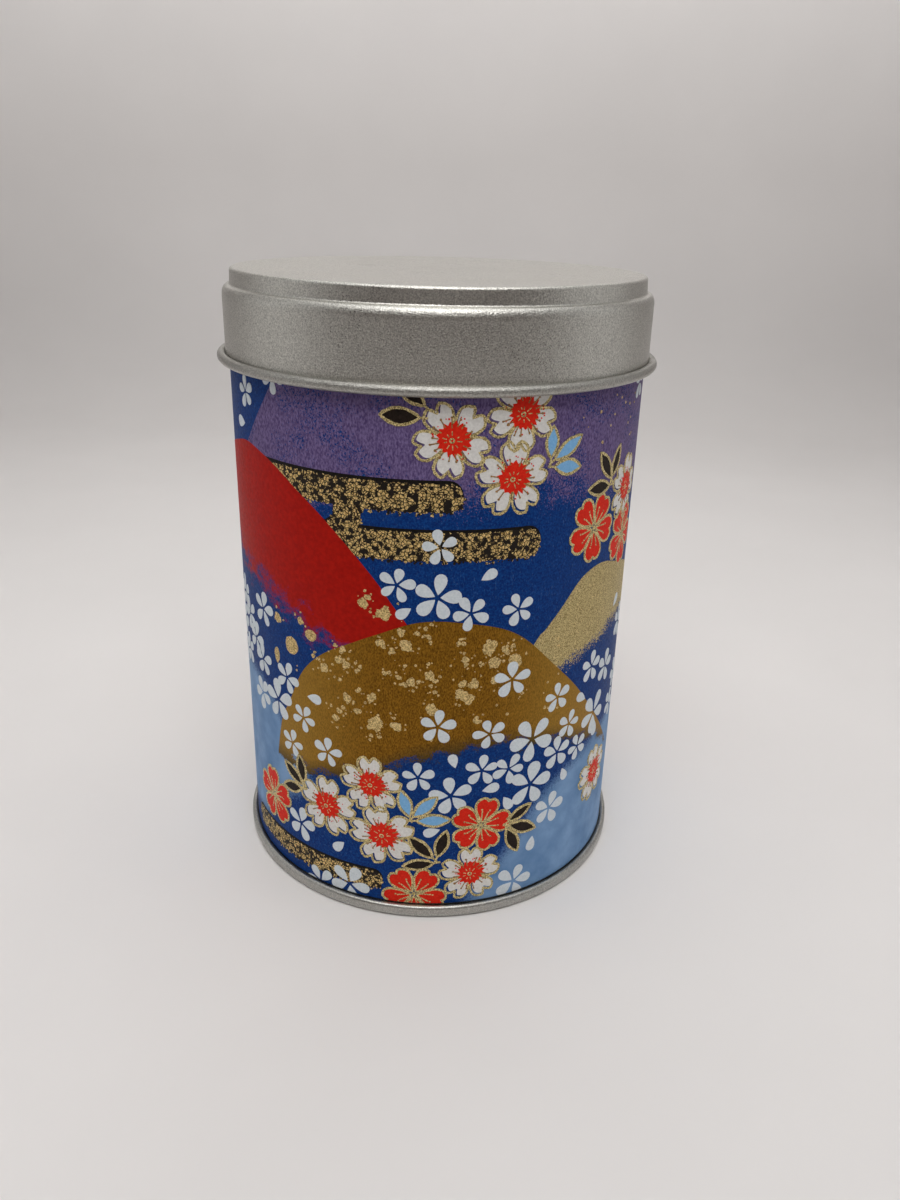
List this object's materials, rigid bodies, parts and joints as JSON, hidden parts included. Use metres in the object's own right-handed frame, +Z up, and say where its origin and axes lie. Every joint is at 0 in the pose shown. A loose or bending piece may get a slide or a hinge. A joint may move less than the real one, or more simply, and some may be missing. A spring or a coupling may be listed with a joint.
{
  "type": "tea caddy",
  "caption": "Round tinplate tea caddy wrapped in patterned paper, with a stepped slip-over outer lid and a press-in inner lid with a knob.",
  "frame": {"origin": "centre of the foot, on the surface the caddy stands on", "axes": "+Z up along the caddy's axis; -Y towards the middle of the printed picture; the paper's seam is at +Y"},
  "size_m": [0.0824, 0.0824, 0.1168],
  "materials": {
    "outer_lid_tin": "satin tinplate",
    "body_tin": "satin tinplate",
    "inner_lid_tin": "satin tinplate",
    "knob_tin": "polished tinplate",
    "rivet_metal": "zinc-plated",
    "seal_compound": "matte",
    "printed_paper": "uncoated, screen printed"
  },
  "bodies": {
    "tin_body": {"body_tube": "body_tin", "bottom_end": "body_tin", "bottom_seal": "seal_compound", "washi_wrap": "printed_paper"},
    "inner_lid_body": {"inner_lid": "inner_lid_tin", "inner_lid_knob": "knob_tin", "knob_rivet": "rivet_metal", "knob_washer": "rivet_metal"},
    "outer_lid_body": {"outer_lid": "outer_lid_tin"}
  },
  "joints": [
    {"name": "inner_lid_lift", "type": "slide", "parent": "tin_body", "child": "inner_lid_body", "axis": [0, 0, 1], "range_m": [0, 0.05]},
    {"name": "outer_lid_lift", "type": "slide", "parent": "inner_lid_body", "child": "outer_lid_body", "axis": [0, 0, 1], "range_m": [0, 0.05]}
  ]
}
